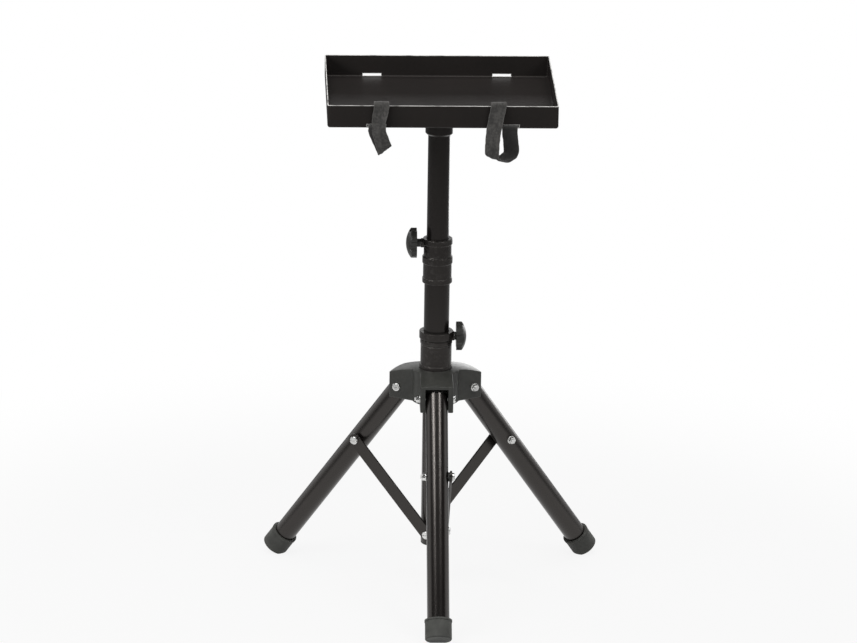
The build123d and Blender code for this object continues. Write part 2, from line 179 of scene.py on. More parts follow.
class Shading:
    """The node tree of a material or of the world."""

    def __init__(self, tree: bpy.types.NodeTree) -> None:
        """Start with an empty tree."""
        self.tree = tree
        self.tree.nodes.clear()

    def node(self, kind: str, settings: Optional[Mapping[str, Setting]] = None,
             inputs: Optional[Mapping[str, object]] = None,
             output: Optional[str] = None) -> Optional[Value]:
        """Add a node.

        Args:
            kind: the node's type.
            settings: the node's own settings, which are set first.
            inputs: the values or links of its sockets, by identifier.
            output: the identifier of the output to return; else the first one in use.

        Returns:
            The output, or None where the node has none.
        """
        made = self.tree.nodes.new(kind)
        for name, setting in (settings or {}).items():
            setattr(made, name, setting)
        sockets = {socket.identifier: socket for socket in made.inputs}
        for name, value in (inputs or {}).items():
            if isinstance(value, Value):
                self.tree.links.new(value.socket, sockets[name])
            else:
                sockets[name].default_value = value
        outputs = [socket for socket in made.outputs
                   if socket.enabled and output in (None, socket.identifier)]
        return Value(self, outputs[0]) if outputs else None

    def place(self) -> Value:
        """Return the piece's own coordinates, in metres, which travel with it."""
        return self.node("ShaderNodeTexCoord", output="Object")

    def facing(self) -> Value:
        """Return the surface's own normal."""
        return self.node("ShaderNodeNewGeometry", output="Normal")

    def axis(self, vector: Value, name: str) -> Value:
        """Return one coordinate of a vector."""
        return self.node("ShaderNodeSeparateXYZ", None, {"Vector": vector}, name)

    def scaled(self, vector: Value, scale: Triple) -> Value:
        """Return a vector stretched along each axis."""
        return self.node("ShaderNodeVectorMath", {"operation": "MULTIPLY"},
                         {"Vector": vector, "Vector_001": scale})

    def noise(self, vector: Value, size: float, detail: float) -> Value:
        """Return cloudy noise from 0 to 1.

        Args:
            vector: where the noise is read.
            size: the width of its clouds, in metres.
            detail: how many finer layers it has.

        Returns:
            The noise.
        """
        return self.node("ShaderNodeTexNoise", None,
                         {"Vector": vector, "Scale": 1 / size, "Detail": detail})

    def pits(self, vector: Value, size: float) -> Value:
        """Return the distance to scattered points, as moulded grain has it.

        Args:
            vector: where the grain is read.
            size: the spacing of its points, in metres.

        Returns:
            The distance, about 0 to 1.
        """
        return self.node("ShaderNodeTexVoronoi", {"feature": "F1"},
                         {"Vector": vector, "Scale": 1 / size}, "Distance")

    def mix(self, share: Number, first: Union[Value, Colour],
            second: Union[Value, Colour]) -> Value:
        """Return a blend of two colours.

        Args:
            share: how much of the second colour there is.
            first: the colour at 0.
            second: the colour at 1.

        Returns:
            The blended colour.
        """
        ends = [end if isinstance(end, Value) else (*end, 1.0) for end in (first, second)]
        return self.node("ShaderNodeMix", {"data_type": "RGBA"},
                         {"Factor_Float": share, "A_Color": ends[0], "B_Color": ends[1]},
                         "Result_Color")

    def eased(self, radius: float) -> Value:
        """Return a normal that rounds sharp edges by a radius in metres."""
        return self.node("ShaderNodeBevel", {"samples": BEVEL_SAMPLES}, {"Radius": radius})

    def edges(self, eased: Value) -> Value:
        """Return a mask of the edges, from the normal that rounds them.

        Args:
            eased: the rounded normal.

        Returns:
            About 0 on plain faces and rising to 1 at the edges.
        """
        along = self.node("ShaderNodeVectorMath", {"operation": "DOT_PRODUCT"},
                          {"Vector": eased, "Vector_001": self.facing()}, "Value")
        return (1 - along).between(*EDGE_STEP)

    def bump(self, height: Value, depth: float, normal: Value) -> Value:
        """Return the normal of a raised texture.

        Args:
            height: the texture, from 0 to 1.
            depth: its height in metres.
            normal: the normal under it.

        Returns:
            The bumped normal.
        """
        return self.node("ShaderNodeBump", None,
                         {"Strength": 1.0, "Distance": depth, "Height": height, "Normal": normal})

    def seen(self) -> Value:
        """Return 1 for the rays that show the background.

        Returns:
            1 for rays from the camera, in gloss and through glass, and else 0.
        """
        rays = [self.node("ShaderNodeLightPath", output=name)
                for name in ("Is Camera Ray", "Is Glossy Ray", "Is Transmission Ray")]
        return (rays[0] + rays[1] + rays[2]) > 0.5


def blank_material(name: str) -> tuple[bpy.types.Material, Shading]:
    """Start a material.

    Args:
        name: its name.

    Returns:
        The material and its empty node tree.
    """
    made = bpy.data.materials.new(name)
    made.use_nodes = True
    return made, Shading(made.node_tree)


def add_object(name: str, data: bpy.types.ID) -> bpy.types.Object:
    """Put a new object in the scene.

    Args:
        name: its name.
        data: its mesh, lamp or camera.

    Returns:
        The object.
    """
    made = bpy.data.objects.new(name, data)
    bpy.context.scene.collection.objects.link(made)
    return made


def direction(azimuth: float, elevation: float) -> Vector:
    """Return the direction from the stand to a place round it.

    Args:
        azimuth: the angle round the stand, in degrees, 0 in front.
        elevation: the angle above level, in degrees.

    Returns:
        The direction, of length 1.
    """
    turn, rise = math.radians(azimuth), math.radians(elevation)
    return Vector((math.sin(turn) * math.cos(rise), -math.cos(turn) * math.cos(rise),
                   math.sin(rise)))


@dataclass(frozen=True)
class Mottle:
    """A layer of cloudy noise in a finish.

    Attributes:
        size: the width of its clouds, in metres.
        detail: how many finer layers it has.
        step: the noise at which a patch begins and at which it is whole.
    """

    size: float
    detail: float
    step: Span = (0.3, 0.7)

    def noise(self, shading: Shading, place: Value) -> Value:
        """Return the noise, from 0 to 1."""
        return shading.noise(place, self.size, self.detail)

    def patches(self, shading: Shading, place: Value) -> Value:
        """Return a mask of its patches, from 0 to 1."""
        return self.noise(shading, place).between(*self.step)


@dataclass(frozen=True)
class Finish:
    """What all finishes have.

    Attributes:
        name: the material's name.
        slot: the record's slot.
        colour: the main colour.
        shade: the colour of its darker clouds.
        worn: the colour of its edges.
        roughness: how matt it is.
        gloss: the shader's specular level.
        tint: the colour of its gloss.
        refraction: its index of refraction.
    """

    name: str
    slot: Slot
    colour: Colour
    shade: Colour
    worn: Colour
    roughness: float
    gloss: float
    tint: Colour = WHITE
    refraction: float = 1.5

    def material(self) -> bpy.types.Material:
        """Make the material.

        Returns:
            The material.
        """
        made, shading = blank_material(self.name)
        shader = shading.node("ShaderNodeBsdfPrincipled", None, {
            "IOR": self.refraction,
            "Specular IOR Level": self.gloss,
            "Specular Tint": (*self.tint, 1.0),
            **self.surface(shading),
        })
        shading.node("ShaderNodeOutputMaterial", None, {"Surface": shader})
        return made

    def surface(self, shading: Shading) -> dict[str, object]:
        """Give the shader's inputs.

        Args:
            shading: the material's node tree.

        Returns:
            The inputs by identifier.
        """
        raise NotImplementedError


@dataclass(frozen=True)
class PowderCoat(Finish):
    """Satin powder coat on steel, with a faint orange peel and rubbed edges.

    Attributes:
        clouds: the darker clouds.
        cloud_matt: how far they vary the roughness.
        peel: the orange peel.
        peel_share: its share of the raised texture.
        peel_depth: the height of that texture.
        grain: the fine grain.
        grain_share: its share of the raised texture.
        grain_matt: how far it varies the roughness.
        dust: the specks of dust.
        dust_share: how far they show the worn colour.
        edge: the radius of its edges.
        rubs: the rubbed patches of the edges.
        rubbing: how far the edges are rubbed to the worn colour.
        rub_shine: how much smoother they are there.
    """

    clouds: Mottle = Mottle(0.07, 3.0)
    cloud_matt: float = 0.1
    peel: Mottle = Mottle(0.0016, 1.0)
    peel_share: float = 0.8
    peel_depth: float = 0.000016
    grain: Mottle = Mottle(0.0004, 1.0)
    grain_share: float = 0.2
    grain_matt: float = 0.08
    dust: Mottle = Mottle(0.0011, 2.0, (0.66, 0.8))
    dust_share: float = 0.06
    edge: float = 0.0006
    rubs: Mottle = Mottle(0.012, 4.0, (0.3, 0.65))
    rubbing: float = 0.4
    rub_shine: float = 0.08

    def lighter_edges(self, shading: Shading, place: Value, eased: Value) -> Value:
        """Give the mask of what is rubbed.

        Args:
            shading: the material's node tree.
            place: the piece's coordinates.
            eased: the normal that rounds the edges.

        Returns:
            The share of the worn colour.
        """
        return shading.edges(eased) * self.rubs.patches(shading, place) * self.rubbing

    def surface(self, shading: Shading) -> dict[str, object]:
        """Give the shader's inputs.

        Args:
            shading: the material's node tree.

        Returns:
            The inputs by identifier.
        """
        place = shading.place()
        clouds = self.clouds.noise(shading, place)
        peel = self.peel.noise(shading, place)
        grain = self.grain.noise(shading, place)
        eased = shading.eased(self.edge)
        # On the tray this lightening also paints highlights along the rim, round the slots and on
        # the edges.
        lightened = self.lighter_edges(shading, place, eased)
        dust = self.dust.patches(shading, place) * self.dust_share
        colour = shading.mix(clouds.between(*self.clouds.step), self.colour, self.shade)
        raised = peel * self.peel_share + grain * self.grain_share
        return {
            "Base Color": shading.mix(lightened + dust, colour, self.worn),
            "Roughness": (self.roughness + clouds.swing(self.cloud_matt)
                          + grain.swing(self.grain_matt) - lightened * self.rub_shine),
            "Normal": shading.bump(raised, self.peel_depth, eased),
        }


@dataclass(frozen=True)
class RimmedCoat(PowderCoat):
    """Powder coat on the tray, lightened along the rim, round the strap slots and on its edges:
    painted highlight, partly bare steel rubbed bright.

    Attributes:
        rim: how deep the lightened band along the rim is, painted highlight and rubbed steel.
        bare_and_highlight: the lightened patches of the rim and the slots, bare steel and painted
            highlight.
        slot_aside: the slots' distance from the middle.
        slot_up: their height above the underside.
        slot_size: their width and height.
        slot_reach: how far round the slots it is lightened.
        slot_least: how far it is lightened round the slots between the patches.
        lip: how deep a lip is, from its outer face.
    """

    rim: float = 0.0009
    bare_and_highlight: Mottle = Mottle(0.02, 4.0, (0.15, 0.6))
    slot_aside: float = SLOT_ASIDE
    slot_up: float = SLOT_UP
    slot_size: Span = (0.029, 0.0038)
    slot_reach: float = 0.0009
    slot_least: float = 0.4
    lip: float = 0.0025

    def slot_edges(self, shading: Shading, place: Value) -> Value:
        """Give the mask of the edges of the slots in the front and rear lips.

        Args:
            shading: the material's node tree.
            place: the tray's coordinates.

        Returns:
            1 in and close round a slot, and else 0.
        """
        low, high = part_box("tray")
        across, along, up = (shading.axis(place, name) for name in "XYZ")
        width, height = self.slot_size
        beside = abs(abs(across) - self.slot_aside) - width / 2
        above = abs(up - (low.z + self.slot_up)) - height / 2
        depth = (high.y - low.y) / 2 - abs(along - (low.y + high.y) / 2)
        near = 1 - beside.larger(above).between(self.slot_reach / 2, self.slot_reach)
        return near * (depth < self.lip)

    def lighter_edges(self, shading: Shading, place: Value, eased: Value) -> Value:
        """Give the mask of what is lightened: rubbed edges, and a painted highlight along the rim
        and round the slots.

        Args:
            shading: the material's node tree.
            place: the tray's coordinates.
            eased: the normal that rounds the edges.

        Returns:
            The share of the worn colour.
        """
        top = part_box("tray")[1].z
        rim = shading.axis(place, "Z").between(top - self.rim, top - self.rim / 2)
        patchy = self.bare_and_highlight.patches(shading, place)
        slots = patchy * (1 - self.slot_least) + self.slot_least
        # The rim band and the slot edges take the near-white worn colour: painted highlight,
        # partly bare steel.
        bare_and_highlight = (rim * patchy).larger(self.slot_edges(shading, place) * slots)
        lightened = super().lighter_edges(shading, place, eased)
        return lightened * (1 - rim) * (1 - bare_and_highlight) + bare_and_highlight * self.rubbing


@dataclass(frozen=True)
class MouldedPlastic(Finish):
    """Moulded black plastic with a fine spark grain and lightened edges: polished, and where the
    polish is raised, painted highlight.

    Attributes:
        clouds: the darker clouds.
        pit: the spacing of the grain's pits.
        pit_share: their share of the raised texture.
        grain_depth: the height of that texture.
        fine: the fine grain.
        fine_share: its share of the raised texture.
        fine_worn: how far its tips show the worn colour.
        fine_matt: how far it varies the roughness.
        flow: the flow marks of the moulding.
        flow_stretch: how they are drawn out along each axis.
        flow_matt: how far they vary the roughness.
        scuffs: the scuffed patches.
        scuff_share: how far they show the worn colour.
        edge: the radius of its edges.
        polish_and_highlight: how far the edges are lightened to the worn colour, as polish and,
            when raised, as painted highlight.
        polish_shine: how much smoother they are there.
    """

    clouds: Mottle = Mottle(0.03, 3.0, (0.3, 0.75))
    pit: float = 0.0007
    pit_share: float = 0.6
    grain_depth: float = 0.00006
    fine: Mottle = Mottle(0.00042, 2.0, (0.6, 0.85))
    fine_share: float = 0.4
    fine_worn: float = 0.2
    fine_matt: float = 0.12
    flow: Mottle = Mottle(0.009, 2.0)
    flow_stretch: Triple = (1.0, 1.0, 0.18)
    flow_matt: float = 0.14
    scuffs: Mottle = Mottle(0.006, 5.0, (0.48, 0.75))
    scuff_share: float = 0.1
    edge: float = 0.0009
    polish_and_highlight: float = 0.35
    polish_shine: float = 0.12

    def surface(self, shading: Shading) -> dict[str, object]:
        """Give the shader's inputs.

        Args:
            shading: the material's node tree.

        Returns:
            The inputs by identifier.
        """
        place = shading.place()
        pits = shading.pits(place, self.pit)
        fine = self.fine.noise(shading, place)
        eased = shading.eased(self.edge)
        edge_mask = shading.edges(eased)
        flow = self.flow.noise(shading, shading.scaled(place, self.flow_stretch))
        worn = (edge_mask * self.polish_and_highlight + fine.between(*self.fine.step) * self.fine_worn
                + self.scuffs.patches(shading, place) * self.scuff_share)
        colour = shading.mix(self.clouds.patches(shading, place), self.colour, self.shade)
        raised = pits * self.pit_share + fine * self.fine_share
        return {
            "Base Color": shading.mix(worn, colour, self.worn),
            "Roughness": (self.roughness + flow.swing(self.flow_matt)
                          + fine.swing(self.fine_matt) - edge_mask * self.polish_shine),
            "Normal": shading.bump(raised, self.grain_depth, eased),
        }


@dataclass(frozen=True)
class BootRubber(Finish):
    """Matt rubber with a dusty, scuffed sole.

    Attributes:
        bloom: the darker clouds.
        bloom_matt: how far they vary the roughness.
        grain: the fine grain.
        grain_depth: its height.
        sole: the height up to which it is scuffed.
        scuffs: the scuffed patches.
        scuff_share: how far they show the worn colour.
        scuff_matt: how much rougher they are.
        edge: the radius of its edges.
        rubbing: how far the edges are rubbed to the worn colour.
    """

    bloom: Mottle = Mottle(0.02, 4.0)
    bloom_matt: float = 0.12
    grain: Mottle = Mottle(0.0009, 3.0)
    grain_depth: float = 0.00005
    sole: float = 0.009
    scuffs: Mottle = Mottle(0.004, 4.0, (0.4, 0.7))
    scuff_share: float = 0.7
    scuff_matt: float = 0.1
    edge: float = 0.001
    rubbing: float = 0.3

    def surface(self, shading: Shading) -> dict[str, object]:
        """Give the shader's inputs.

        Args:
            shading: the material's node tree.

        Returns:
            The inputs by identifier.
        """
        place = shading.place()
        bloom = self.bloom.noise(shading, place)
        grain = self.grain.noise(shading, place)
        low = 1 - shading.axis(place, "Z").between(0.0, self.sole)
        scuffs = low * self.scuffs.patches(shading, place)
        eased = shading.eased(self.edge)
        lightened = shading.edges(eased) * self.rubbing
        colour = shading.mix(bloom.between(*self.bloom.step), self.colour, self.shade)
        return {
            "Base Color": shading.mix(scuffs * self.scuff_share + lightened, colour, self.worn),
            "Roughness": self.roughness + bloom.swing(self.bloom_matt) + scuffs * self.scuff_matt,
            "Normal": shading.bump(grain, self.grain_depth, eased),
        }


@dataclass(frozen=True)
class ZincPlate(Finish):
    """Bright zinc plate on bolts, nuts and screws.

    Attributes:
        clouds: the darker clouds.
        cloud_matt: how far they vary the roughness.
        grain: the fine grain.
        grain_matt: how far it varies the roughness.
        grain_depth: its height.
        edge: the radius of its edges.
        rubbing: how far the edges are rubbed to the worn colour.
    """

    clouds: Mottle = Mottle(0.005, 3.0)
    cloud_matt: float = 0.2
    grain: Mottle = Mottle(0.0005, 2.0)
    grain_matt: float = 0.08
    grain_depth: float = 0.00002
    edge: float = 0.0004
    rubbing: float = 0.5

    def surface(self, shading: Shading) -> dict[str, object]:
        """Give the shader's inputs.

        Args:
            shading: the material's node tree.

        Returns:
            The inputs by identifier.
        """
        place = shading.place()
        clouds = self.clouds.noise(shading, place)
        grain = self.grain.noise(shading, place)
        eased = shading.eased(self.edge)
        lightened = shading.edges(eased) * self.rubbing
        colour = shading.mix(clouds.between(*self.clouds.step), self.colour, self.shade)
        return {
            "Base Color": shading.mix(lightened, colour, self.worn),
            "Metallic": 1.0,
            "Roughness": (self.roughness + clouds.swing(self.cloud_matt)
                          + grain.swing(self.grain_matt)),
            "Normal": shading.bump(grain, self.grain_depth, eased),
        }


@dataclass(frozen=True)
class Webbing(Finish):
    """Hook-and-loop webbing: looped pile outside, hooks inside, woven selvedges.

    Attributes:
        width: the strap's width.
        rib: the pitch of the weave's ribs.
        hook: the pitch of the hooks.
        pile: the looped pile.
        pile_matt: how far it varies the roughness.
        tufts: its tufts.
        matting: where it is matted.
        raised: the shares of pile, ribs and tufts in the raised texture.
        raised_depth: the height of that texture.
        light: the shares of tufts, pile and matting in the lighter places.
        light_step: the sum at which those begin and at which they are whole.
        selvedge: where the selvedge begins and is whole, in widths from the middle.
        selvedge_least: how far it shows the worn colour between its ribs.
        selvedge_ribs: how much further its ribs do.
        selvedge_flat: how much flatter it is.
        selvedge_shine: how much smoother it is.
        hook_share: how far the hooks hide the weave's colour.
        hook_shade: their colour, as a share of the shade.
        sheen: the weight of its sheen.
        sheen_matt: the roughness of its sheen.
    """

    width: float = STRAP_WIDTH
    rib: float = 0.0011
    hook: float = 0.0017
    pile: Mottle = Mottle(0.0011, 3.0)
    pile_matt: float = 0.15
    tufts: Mottle = Mottle(0.0035, 3.0)
    matting: Mottle = Mottle(0.009, 4.0)
    raised: Triple = (0.7, 0.12, 0.2)
    raised_depth: float = 0.0004
    light: Triple = (0.4, 0.2, 0.4)
    light_step: Span = (0.4, 0.6)
    selvedge: Span = (0.43, 0.46)
    selvedge_least: float = 0.5
    selvedge_ribs: float = 0.4
    selvedge_flat: float = 0.6
    selvedge_shine: float = 0.1
    hook_share: float = 0.75
    hook_shade: float = 0.6
    sheen: float = 0.28
    sheen_matt: float = 0.5

    def surface(self, shading: Shading) -> dict[str, object]:
        """Give the shader's inputs.

        Args:
            shading: the material's node tree.

        Returns:
            The inputs by identifier.
        """
        run = shading.node("ShaderNodeUVMap", {"uv_map": RUN_MAP})
        across = shading.axis(run, "X")
        along = shading.axis(run, "Y")
        inside = across > self.width
        centred = across - inside * (2 * self.width)
        selvedge = abs(centred).between(*(self.width * share for share in self.selvedge))
        place = shading.place()
        pile = self.pile.noise(shading, place)
        tufts = self.tufts.noise(shading, place)
        matting = self.matting.noise(shading, place)
        ribs = along.wave(self.rib)
        hooks = along.wave(self.hook) * centred.wave(self.hook)
        looped = pile * self.raised[0] + ribs * self.raised[1] + tufts * self.raised[2]
        height = looped * (1 - inside) + hooks * inside
        light = tufts * self.light[0] + pile * self.light[1] + matting * self.light[2]
        colour = shading.mix(light.between(*self.light_step), self.shade, self.colour)
        woven = selvedge * (self.selvedge_least + ribs * self.selvedge_ribs)
        colour = shading.mix(woven, colour, self.worn)
        hooked = tuple(self.hook_shade * part for part in self.shade)
        return {
            "Base Color": shading.mix(inside * self.hook_share, colour, hooked),
            "Roughness": (self.roughness + pile.swing(self.pile_matt)
                          - selvedge * self.selvedge_shine),
            "Sheen Weight": self.sheen,
            "Sheen Roughness": self.sheen_matt,
            "Normal": shading.bump(height * (1 - selvedge * self.selvedge_flat),
                                   self.raised_depth, shading.facing()),
        }


@dataclass
class Finishes:
    """The finishes of the stand, and the materials made from them so far."""

    coat: Finish = PowderCoat(
        "coat", Slot.POWDER_COAT, colour=(0.0085, 0.0074, 0.007),
        shade=(0.0066, 0.0058, 0.0055), worn=(0.085, 0.082, 0.078),
        roughness=0.24, gloss=0.6, tint=WARM)
    # The tray's near-white worn colour and strong rubbing paint highlights along its rim, slots
    # and edges, partly as bare steel.
    tray_coat: Finish = RimmedCoat(
        "tray_coat", Slot.POWDER_COAT, colour=(0.0125, 0.0107, 0.01),
        shade=(0.0097, 0.0084, 0.0079), worn=(0.6, 0.59, 0.57),
        roughness=0.45, gloss=0.24, tint=WARM, rubbing=0.9)
    moulded: Finish = MouldedPlastic(
        "moulded", Slot.MOULDED_BLACK, colour=(0.027, 0.0274, 0.0246),
        shade=(0.0195, 0.0198, 0.0178), worn=(0.115, 0.117, 0.108),
        roughness=0.36, gloss=0.4)
    hub_moulding: Finish = MouldedPlastic(
        "hub_moulding", Slot.MOULDED_BLACK, colour=(0.048, 0.0487, 0.0438),
        shade=(0.036, 0.0366, 0.0328), worn=(0.15, 0.152, 0.141),
        roughness=0.36, gloss=0.42)
    # The collar's raised edge polish and light worn colour paint highlights along its edges and
    # grooves.
    collar: Finish = MouldedPlastic(
        "collar", Slot.MOULDED_BLACK, colour=(0.0235, 0.0214, 0.0202),
        shade=(0.0177, 0.0163, 0.0154), worn=(0.2, 0.194, 0.186),
        roughness=0.24, gloss=0.46, tint=WARM, grain_depth=0.00002, edge=0.0014, polish_and_highlight=0.8)
    rubber: Finish = BootRubber(
        "rubber", Slot.BOOT_RUBBER, colour=(0.092, 0.0936, 0.086),
        shade=(0.069, 0.07, 0.0648), worn=(0.16, 0.154, 0.141),
        roughness=0.6, gloss=0.25)
    zinc: Finish = ZincPlate(
        "zinc", Slot.ZINC, colour=(0.78, 0.78, 0.765),
        shade=(0.62, 0.62, 0.61), worn=(0.86, 0.86, 0.85),
        roughness=0.27, gloss=0.5)
    webbing: Finish = Webbing(
        "webbing", Slot.WEBBING, colour=(0.054, 0.0515, 0.0485),
        shade=(0.0245, 0.0234, 0.022), worn=(0.067, 0.064, 0.06),
        roughness=0.82, gloss=0.25)
    made: dict[str, bpy.types.Material] = field(default_factory=dict)

    def of(self, finish: Finish) -> bpy.types.Material:
        """Give a finish's material, made at its first use.

        Args:
            finish: the finish.

        Returns:
            The material.
        """
        if finish.name not in self.made:
            self.made[finish.name] = finish.material()
        return self.made[finish.name]

    def coat_nodes(self, finish: Finish, *nodes: str) -> None:
        """Give solids of the part a finish.

        Args:
            finish: the finish.
            nodes: the names of the solids.
        """
        material = self.of(finish)
        for name in nodes:
            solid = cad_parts[name]
            if not solid.material_slots:
                solid.data.materials.append(material)
            for place in solid.material_slots:
                place.material = material
            log.info("%s: %s", name, finish.slot.value)


Row = tuple[Vector, Vector, float]


@dataclass
class Strap:
    """One strap: a ring through a slot, up inside the lip, over the rim and down the front.

    Attributes:
        node: the solid that it replaces.
        side: 1 to the right of the middle, -1 to the left.
        lean: how far towards the middle it crosses the rim.
        waist: how far towards the middle it passes the tray's underside.
        waist_out: how far it stands before the lip there.
        waist_tilt: the direction of its width there.
        front_sway: how far towards the middle the loop's front hangs.
        back_sway: the same for the loop's back.
        drop: how far the loop's middle hangs below the tray's underside.
        bulge: how far the loop stands before the lip.
        turn: the radius of the loop's end.
        tilts: the directions of the width at the loop's five points.
        width: the strap's width.
        thickness: its thickness.
        aside: the slot's distance from the middle.
        slot_up: the slot's height above the underside.
        sheet: the tray's thickness.
        gap: the strap's clearance inside the lip.
        front: how far its middle lies before the lip at the rim.
        crest: how high its middle stands over the rim.
        slot_lead: how far before the lip it turns into the slot.
        slot_climb: how far it climbs in the slot, each way.
        bend: the height over which it turns away from the slot.
        swaying: how far the sway has gone to the back's at the loop's five points.
        cup: how far its middle bows out where it hangs.
        fray: how far its selvedges wander.
        fray_pitch: the length over which they do.
        crease: the depth of the creases where it hangs.
        crease_width: their width across the strap.
        crease_run: their length, in stations.
        steps: the number of rows between two stations.
        flats: the number of faces across each flat side.
    """

    node: str
    side: int
    lean: float
    waist: float
    waist_out: float
    waist_tilt: Triple
    front_sway: float
    back_sway: float
    drop: float
    bulge: float
    turn: float
    tilts: tuple[Triple, ...]
    width: float = STRAP_WIDTH
    thickness: float = 0.0016
    aside: float = SLOT_ASIDE
    slot_up: float = SLOT_UP
    sheet: float = 0.0015
    gap: float = 0.0003
    front: float = 0.0044
    crest: float = 0.0064
    slot_lead: float = 0.0026
    slot_climb: float = 0.0011
    bend: float = 0.006
    swaying: tuple[float, ...] = (0.0, 0.15, 0.5, 0.85, 1.0)
    cup: float = 0.0007
    fray: float = 0.0007
    fray_pitch: float = 0.006
    crease: float = 0.0019
    crease_width: float = 0.006
    crease_run: float = 1.7
    steps: int = 12
    flats: int = 10

    def stations(self) -> list[Row]:
        """Lay the strap's route.

        Returns:
            The middle, the direction of the width and the share of the cup at each station,
            in the frame.
        """
        low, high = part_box("tray")
        lip = high.z - low.z
        back = -self.sheet - self.gap - self.thickness / 2
        rim = (self.front - back) / 2
        level = (1.0, 0.0, 0.0)
        # Each stop: inward from the slot, before the lip, above the underside, width, cup.
        route = [(0.0, back - self.slot_climb, self.slot_up + self.slot_climb, level, 0.0),
                 (0.0, back, self.slot_up + self.bend, level, 0.0)]
        for turn in HALF_TURN:
            route.append((self.lean, back + rim - rim * math.cos(turn),
                          lip + self.crest * math.sin(turn), level, 0.0))
        route.append((self.waist, self.waist_out, 0.0, self.waist_tilt, 1.0))
        for turn, share, tilt in zip(HALF_TURN, self.swaying, self.tilts):
            sway = self.front_sway + (self.back_sway - self.front_sway) * share
            route.append((sway, self.bulge - self.turn + self.turn * math.cos(turn),
                          self.turn - self.drop - self.turn * math.sin(turn), tilt, 1.0))
        route += [(0.0, self.slot_lead - self.slot_climb, -self.bend, level, 0.0),
                  (0.0, self.slot_lead, self.slot_up - self.slot_climb, level, 0.0)]
        return [(Vector((self.side * (self.aside - inward), low.y - before, low.z + up)),
                 Vector(tilt), cup)
                for inward, before, up, tilt, cup in route]

    def rows(self) -> list[Row]:
        """Draw a smooth ring through the stations.

        Returns:
            The ring's rows, each as a station is.
        """
        stations = self.stations()
        count = len(stations)
        ring = []
        for here in range(count):
            behind, start, end, after = (stations[(here + step) % count]
                                         for step in (-1, 0, 1, 2))
            reach = (end[0] - start[0]).length
            leave = (end[0] - behind[0]).normalized() * reach
            arrive = (after[0] - start[0]).normalized() * reach
            for step in range(self.steps):
                t = step / self.steps
                ease = 3 * t ** 2 - 2 * t ** 3
                middle = (start[0] * (1 - ease) + leave * (t ** 3 - 2 * t ** 2 + t)
                          + end[0] * ease + arrive * (t ** 3 - t ** 2))
                ring.append((middle, start[1].lerp(end[1], ease),
                             start[2] + (end[2] - start[2]) * ease))
        return ring

    def section(self) -> list[Span]:
        """Draw the outline across the strap.

        Returns:
            Points on the inner flat side, a rounded selvedge, the outer side and a selvedge,
            each as its distance across and its height.
        """
        half, thick = self.width / 2, self.thickness / 2
        flat = [half - thick - (self.width - 2 * thick) * step / self.flats
                for step in range(self.flats + 1)]
        inner = [(across, thick) for across in flat]
        left = [(thick - half + thick * math.cos(angle), thick * math.sin(angle))
                for angle in SELVEDGE_TURN]
        return inner + left + [(-across, -up) for across, up in inner + left]

    def points(self, rows: Sequence[Row]) -> list[Vector]:
        """Give the points of the strap's surface.

        Args:
            rows: the ring of rows.

        Returns:
            The points, row by row, each row once round the outline.
        """
        half = self.width / 2
        points = []
        for here, (middle, guide, cup) in enumerate(rows):
            ahead = (rows[(here + 1) % len(rows)][0] - rows[here - 1][0]).normalized()
            across = guide.normalized()
            inward = across.cross(ahead).normalized()
            along = here / (self.steps * self.crease_run)
            for aside, up in self.section():
                bow = self.cup * cup * (1 - (aside / half) ** 2)
                edge = Vector((math.copysign(1.0, aside), 0.0, 0.0))
                wander = self.fray * aside / half * noise.noise(middle / self.fray_pitch + edge)
                spot = Vector((aside / self.crease_width, along, self.aside * self.side))
                fold = self.crease * cup * noise.noise(spot)
                points.append(middle + across * (aside + wander) + inward * (up - bow + fold))
        return points

    def build(self, material: bpy.types.Material) -> None:
        """Make the strap in place of its solid.

        Args:
            material: the webbing.
        """
        rows, outline = self.rows(), self.section()
        count, size = len(rows), len(outline)
        runs = [0.0]
        for here in range(count):
            runs.append(runs[-1] + (rows[(here + 1) % count][0] - rows[here][0]).length)
        faces = [(here * size + side, here * size + (side + 1) % size,
                  (here + 1) % count * size + (side + 1) % size, (here + 1) % count * size + side)
                 for here in range(count) for side in range(size)]
        mesh = bpy.data.meshes.new(self.node + "_webbing")
        mesh.from_pydata(self.points(rows), [], faces)
        mesh.materials.append(material)
        mesh.uv_layers.new(name=RUN_MAP)
        layer = mesh.uv_layers[RUN_MAP].data
        for index, face in enumerate(mesh.polygons):
            here, side = divmod(index, size)
            inside = 2 * self.width if side < self.flats else 0.0
            corners = zip(face.loop_indices, ((0, 0), (0, 1), (1, 1), (1, 0)))
            for corner, (row, column) in corners:
                layer[corner].uv = (outline[(side + column) % size][0] + inside, runs[here + row])
            face.use_smooth = True
        strap = add_object(self.node + "_webbing", mesh)
        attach(strap, "top")
        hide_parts(self.node)
        log.info("%s: ring of %.0f mm", self.node, runs[-1] * 1000)


